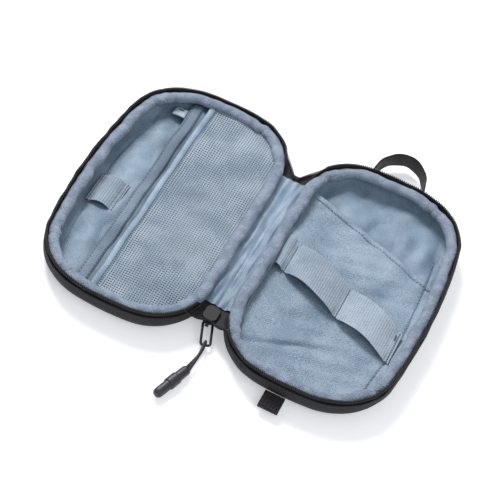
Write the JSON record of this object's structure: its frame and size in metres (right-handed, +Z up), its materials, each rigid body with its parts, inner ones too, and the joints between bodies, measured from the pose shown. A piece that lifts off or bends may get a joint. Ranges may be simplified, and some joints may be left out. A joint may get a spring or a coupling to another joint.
{
  "type": "cable organizer pouch",
  "caption": "Zip-around travel pouch for cables, lying open: padded trays on a soft spine, with mesh and slip pockets, elastic loops and a grab handle.",
  "frame": {"origin": "centre of the back shell's flat resting face", "axes": "+Z up, out of the open back shell; +Y along the spine towards the grab handle; +X from the spine out over the back shell"},
  "size_m": [0.242, 0.2591, 0.0188],
  "materials": {
    "outer_cloth": "plain woven polyester",
    "foam": "soft foam sheet",
    "lining_nylon": "satin nylon",
    "zip_tape": "woven tape",
    "zip_coil": "moulded nylon coil",
    "binding_cloth": "soft brushed cloth",
    "elastic": "ribbed elastic webbing",
    "thread": "sewing thread",
    "mesh": "open knitted mesh",
    "webbing": "woven webbing",
    "slider_metal": "matte black enamel",
    "puller_metal": "gloss black enamel",
    "cord": "braided cord",
    "grip_rubber": "moulded rubber"
  },
  "bodies": {
    "back_shell": {"back_outer_shell": "outer_cloth", "back_padding": "foam", "back_lining": "lining_nylon", "back_zip_tape": "zip_tape", "back_zip_teeth": "zip_coil", "back_binding": "binding_cloth", "slip_pocket": "lining_nylon", "slip_pocket_hem": "lining_nylon", "lining_piping": "lining_nylon", "elastic_band": "elastic", "band_tacks": "thread"},
    "spine": {"spine_cover": "outer_cloth", "spine_lining": "lining_nylon", "upper_gusset": "webbing", "lower_gusset": "webbing", "zip_slider": "slider_metal"},
    "front_cover": {"front_outer_shell": "outer_cloth", "front_padding": "foam", "front_lining": "lining_nylon", "front_zip_tape": "zip_tape", "front_zip_teeth": "zip_coil", "front_binding": "binding_cloth", "inner_pocket": "lining_nylon", "inner_pocket_trim": "elastic", "label_tab": "elastic", "mesh_pocket": "mesh", "mesh_pocket_hem": "mesh", "short_elastic_band": "elastic"},
    "puller": {"zip_puller": "puller_metal"},
    "pull": {"pull_cord": "cord", "pull_grip": "grip_rubber", "grip_sleeve": "grip_rubber"},
    "handle": {"grab_handle": "webbing"},
    "tab": {"loop_tab": "webbing"}
  },
  "joints": [
    {"name": "spine_fold", "type": "hinge", "parent": "back_shell", "child": "spine", "pos_m": [-0.057, 0, 0.012], "axis": [0, 1, 0], "range_deg": [0, 90]},
    {"name": "cover_fold", "type": "hinge", "parent": "spine", "child": "front_cover", "pos_m": [-0.071, 0, 0.012], "axis": [0, 1, 0], "range_deg": [0, 90]},
    {"name": "puller_swing", "type": "hinge", "parent": "spine", "child": "puller", "pos_m": [-0.0647, -0.0695, 0.00585], "axis": [0.9397, 0.342, 0], "range_deg": [-10, 90]},
    {"name": "pull_swing", "type": "hinge", "parent": "puller", "child": "pull", "pos_m": [-0.05923, -0.08454, 0.00332], "axis": [0.9397, 0.342, 0], "range_deg": [-20, 60]},
    {"name": "handle_flop", "type": "hinge", "parent": "back_shell", "child": "handle", "pos_m": [-0.005, 0.098, 0.0088], "axis": [1, 0, 0], "range_deg": [-50, 50]},
    {"name": "tab_flop", "type": "hinge", "parent": "back_shell", "child": "tab", "pos_m": [-0.0075, -0.0978, 0.005], "axis": [1, 0, 0], "range_deg": [-25, 25]}
  ],
  "couplings": [
    {"joint": "cover_fold", "follows": "spine_fold", "ratio": 1}
  ]
}
